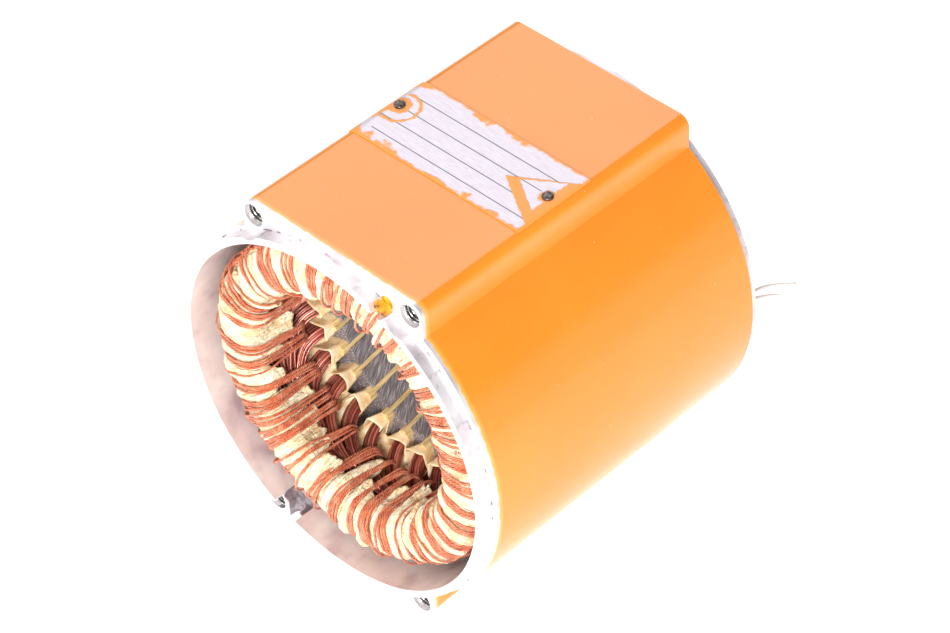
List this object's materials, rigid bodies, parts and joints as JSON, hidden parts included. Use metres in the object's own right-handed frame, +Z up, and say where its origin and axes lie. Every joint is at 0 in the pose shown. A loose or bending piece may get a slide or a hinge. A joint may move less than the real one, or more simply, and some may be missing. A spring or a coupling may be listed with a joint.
{
  "type": "brushless motor stator",
  "caption": "Wound stator of a brushless servo motor in its flat-sided housing, with an open bore for the rotor, spigots and threaded corner holes at both ends.",
  "frame": {"origin": "on the motor axis at the front shoulder face, where the front spigot starts", "axes": "+Y along the motor axis from the front end to the rear end, +Z up out of the flat with the nameplate, +X to the right seen from the front"},
  "size_m": [0.14, 0.1566, 0.1414],
  "materials": {
    "housing_enamel": "gloss orange enamel over cast aluminium, bare machined at both ends",
    "insert_steel": "stainless, threaded",
    "screw_steel": "black oxide",
    "amber_varnish": "amber sealing varnish",
    "plate_aluminium": "satin anodised foil",
    "rivet_steel": "dark drive rivets",
    "electrical_steel": "stacked laminations, varnished",
    "liner_film": "aramid film laminate, tan",
    "wedge_laminate": "glass laminate strip, tan",
    "separator_film": "aramid paper",
    "copper_wire": "enamelled copper wire, maroon",
    "wrap_paper": "crinkled fibrous insulation paper",
    "lacing_cord": "braided polyester cord, orange red",
    "sleeve_film": "shrink sleeve",
    "lead_ptfe": "white fluoropolymer insulation"
  },
  "bodies": {
    "root": {"housing": "housing_enamel", "front_thread_inserts": "insert_steel", "rear_thread_inserts": "insert_steel", "sealed_grub_screw": "screw_steel", "varnish_seal": "amber_varnish", "nameplate": "plate_aluminium", "nameplate_rivets": "rivet_steel", "stator_core": "electrical_steel", "slot_liners": "liner_film", "slot_wedges": "wedge_laminate", "slot_layer_separators": "separator_film", "phase_u_coil_sides": "copper_wire", "phase_v_coil_sides": "copper_wire", "phase_w_coil_sides": "copper_wire", "front_end_turns": "copper_wire", "rear_end_turns": "copper_wire", "front_overhang_wrap": "wrap_paper", "rear_overhang_wrap": "wrap_paper", "front_lacing_bands": "lacing_cord", "rear_lacing_bands": "lacing_cord", "front_layer_papers": "wrap_paper", "rear_layer_papers": "wrap_paper", "winding_temperature_sensor": "sleeve_film", "star_point_splice": "sleeve_film", "sensor_lead_long": "lead_ptfe", "sensor_lead_short": "lead_ptfe"}
  },
  "joints": []
}
